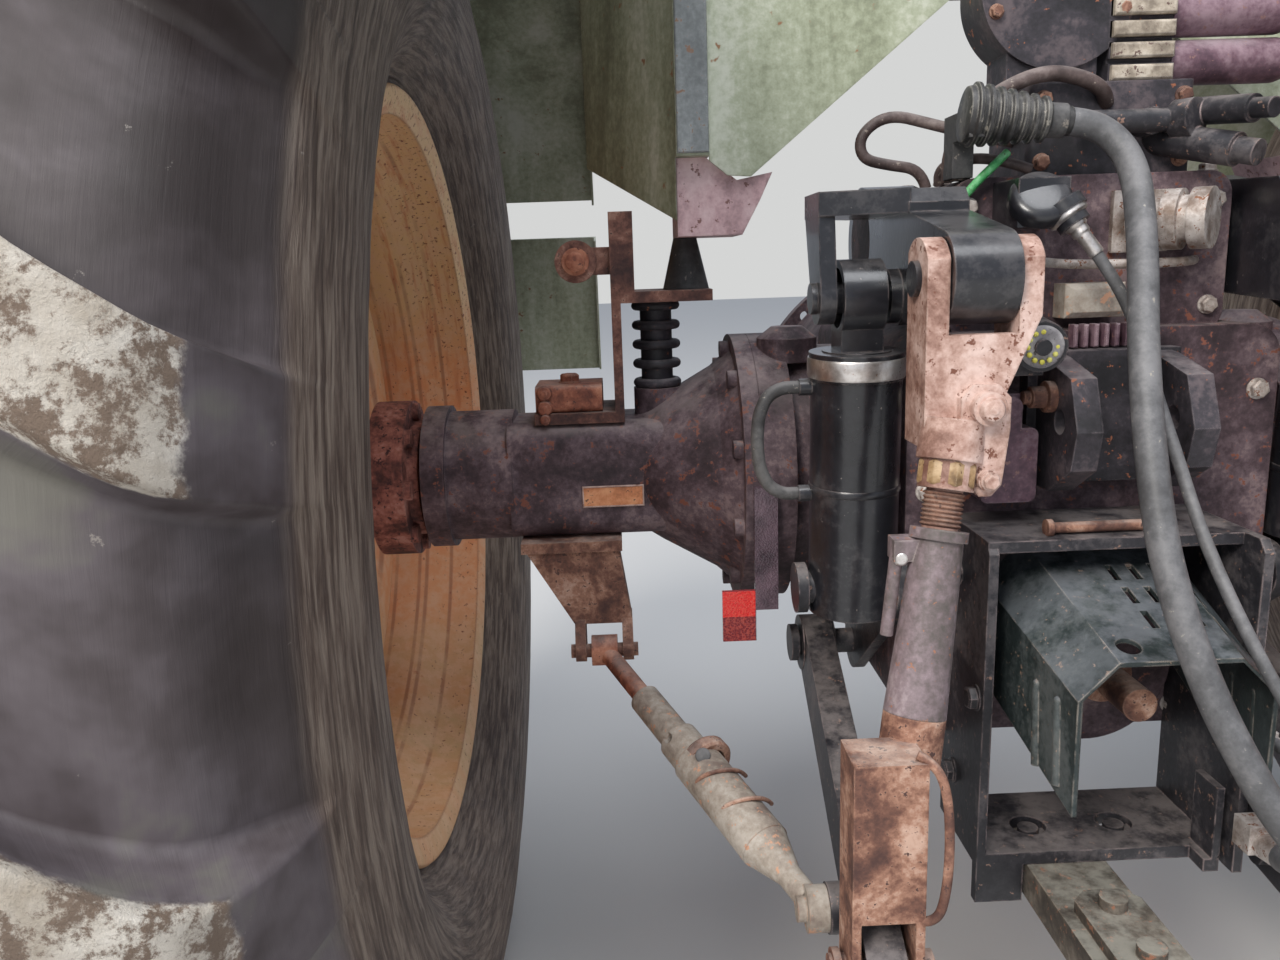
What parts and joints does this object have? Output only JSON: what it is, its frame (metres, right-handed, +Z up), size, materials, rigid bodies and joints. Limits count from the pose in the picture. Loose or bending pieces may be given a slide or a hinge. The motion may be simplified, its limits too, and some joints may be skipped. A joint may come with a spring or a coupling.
{
  "type": "tractor rear axle with three-point hitch",
  "caption": "Rear end of a farm tractor: transaxle case, driven wheels under fenders, hydraulic three-point hitch, PTO stub and drawbar.",
  "frame": {"origin": "centre of the front flange face of the transaxle case, at axle height", "axes": "+Y along the flange normal, towards the tractor's front; +X to the tractor's right; +Z up"},
  "size_m": [2.684, 1.9757, 1.8401],
  "materials": {
    "cast_iron": "dusty purple-brown cast iron",
    "tyre": "worn tractor tyre rubber",
    "wheel_paint": "cream paint over orange rust",
    "hub_rust": "red-brown rusty steel",
    "fender_green": "faded sage green paint with streaks",
    "black_paint": "worn black paint",
    "rusty_steel": "rusty steel",
    "pink_rust": "pale pinkish rusted paint",
    "grey_tube": "pale grey-beige tube",
    "bright_steel": "bare steel",
    "rubber_black": "dusty black rubber",
    "red_reflector": "red reflector",
    "tube_mauve": "grey-mauve worn tube",
    "dark_green_black": "dark green-black painted sheet"
  },
  "bodies": {
    "root": {"axle_clamps": "rusty_steel", "axle_housing_left": "cast_iron", "axle_housing_right": "cast_iron", "cab_feet": "pink_rust", "cab_mounts": "rusty_steel", "cab_rubbers": "rubber_black", "cab_springs": "black_paint", "couplers": "black_paint", "depth_knob": "black_paint", "drawbar": "rusty_steel", "fender_left": "fender_green", "fender_right": "fender_green", "hitch_frame": "black_paint", "hose_boot": "rubber_black", "hose_fittings": "bright_steel", "hose_thick": "rubber_black", "hose_thin": "rubber_black", "lift_sensor": "black_paint", "link_brackets": "black_paint", "pressure_port": "bright_steel", "pto_guard": "dark_green_black", "rear_panel": "fender_green", "reflectors": "red_reflector", "spool_tubes": "tube_mauve", "stabiliser_brackets": "rusty_steel", "top_link_bracket": "cast_iron", "transaxle_case": "cast_iron", "valve_block": "cast_iron", "valve_box": "cast_iron"},
    "wheel_left": {"hub_left": "hub_rust", "rim_left": "wheel_paint", "tyre_left": "tyre"},
    "wheel_right": {"hub_right": "hub_rust", "rim_right": "wheel_paint", "tyre_right": "tyre"},
    "lift_arms": {"lift_arm_left": "black_paint", "lift_arm_right": "black_paint", "rockshaft": "bright_steel"},
    "pto": {"pto_shaft": "rusty_steel"},
    "lower_link_left": {"link_ball_left": "bright_steel", "lower_link_left": "black_paint", "stabiliser_rod_left": "rusty_steel", "stabiliser_tube_left": "grey_tube"},
    "lift_rod_left": {"lift_rod_foot_left": "rusty_steel", "lift_rod_fork_left": "pink_rust", "lift_rod_tube_left": "tube_mauve"},
    "cylinder_barrel_left": {"cylinder_barrel_left": "black_paint", "cylinder_hose_left": "rubber_black"},
    "cylinder_rod_left": {"cylinder_rod_left": "bright_steel"},
    "lower_link_right": {"link_ball_right": "bright_steel", "lower_link_right": "black_paint", "stabiliser_rod_right": "rusty_steel", "stabiliser_tube_right": "grey_tube"},
    "lift_rod_right": {"lift_rod_foot_right": "rusty_steel", "lift_rod_fork_right": "pink_rust", "lift_rod_tube_right": "tube_mauve"},
    "cylinder_barrel_right": {"cylinder_barrel_right": "black_paint", "cylinder_hose_right": "rubber_black"},
    "cylinder_rod_right": {"cylinder_rod_right": "bright_steel"}
  },
  "joints": [
    {"name": "wheel_left_roll", "type": "hinge", "parent": "root", "child": "wheel_left", "pos_m": [-1.02, -0.48, 0], "axis": [-1, 0, 0], "continuous": true},
    {"name": "wheel_right_roll", "type": "hinge", "parent": "root", "child": "wheel_right", "pos_m": [1.02, -0.48, 0], "axis": [-1, 0, 0], "continuous": true},
    {"name": "lift", "type": "hinge", "parent": "root", "child": "lift_arms", "pos_m": [0, -0.62, 0.29], "axis": [-1, 0, 0], "range_deg": [-4, 44]},
    {"name": "pto_spin", "type": "hinge", "parent": "root", "child": "pto", "pos_m": [0, -0.91, -0.175], "axis": [0, 1, 0], "continuous": true},
    {"name": "lower_link_left_pivot", "type": "hinge", "parent": "root", "child": "lower_link_left", "pos_m": [-0.262, -0.58, -0.222], "axis": [-1, 0, 0], "range_deg": [-2.75, 29.76]},
    {"name": "lift_rod_left_pivot", "type": "hinge", "parent": "lift_arms", "child": "lift_rod_left", "pos_m": [-0.187, -0.923, 0.252], "axis": [-1, 0, 0], "range_deg": [-38.07, 3.51]},
    {"name": "cylinder_left_pivot", "type": "hinge", "parent": "root", "child": "cylinder_barrel_left", "pos_m": [-0.257, -0.765, -0.085], "axis": [-1, 0, 0], "range_deg": [-0.076, 0.34]},
    {"name": "cylinder_left_stroke", "type": "slide", "parent": "cylinder_barrel_left", "child": "cylinder_rod_left", "axis": [0, -0.0473, 0.9989], "range_m": [-0.01211, 0.12817]},
    {"name": "lower_link_right_pivot", "type": "hinge", "parent": "root", "child": "lower_link_right", "pos_m": [0.262, -0.58, -0.222], "axis": [-1, 0, 0], "range_deg": [-2.75, 29.76]},
    {"name": "lift_rod_right_pivot", "type": "hinge", "parent": "lift_arms", "child": "lift_rod_right", "pos_m": [0.187, -0.923, 0.252], "axis": [-1, 0, 0], "range_deg": [-38.07, 3.51]},
    {"name": "cylinder_right_pivot", "type": "hinge", "parent": "root", "child": "cylinder_barrel_right", "pos_m": [0.257, -0.765, -0.085], "axis": [-1, 0, 0], "range_deg": [-0.076, 0.34]},
    {"name": "cylinder_right_stroke", "type": "slide", "parent": "cylinder_barrel_right", "child": "cylinder_rod_right", "axis": [0, -0.0473, 0.9989], "range_m": [-0.01211, 0.12817]}
  ],
  "couplings": [
    {"joint": "lower_link_left_pivot", "follows": "lift", "ratio": 0.6752},
    {"joint": "lift_rod_left_pivot", "follows": "lift", "ratio": -0.8641},
    {"joint": "cylinder_left_pivot", "follows": "lift", "ratio": 0.0066},
    {"joint": "cylinder_left_stroke", "follows": "lift", "m_per_rad": 0.16625},
    {"joint": "lower_link_right_pivot", "follows": "lift", "ratio": 0.6752},
    {"joint": "lift_rod_right_pivot", "follows": "lift", "ratio": -0.8641},
    {"joint": "cylinder_right_pivot", "follows": "lift", "ratio": 0.0066},
    {"joint": "cylinder_right_stroke", "follows": "lift", "m_per_rad": 0.16625}
  ]
}
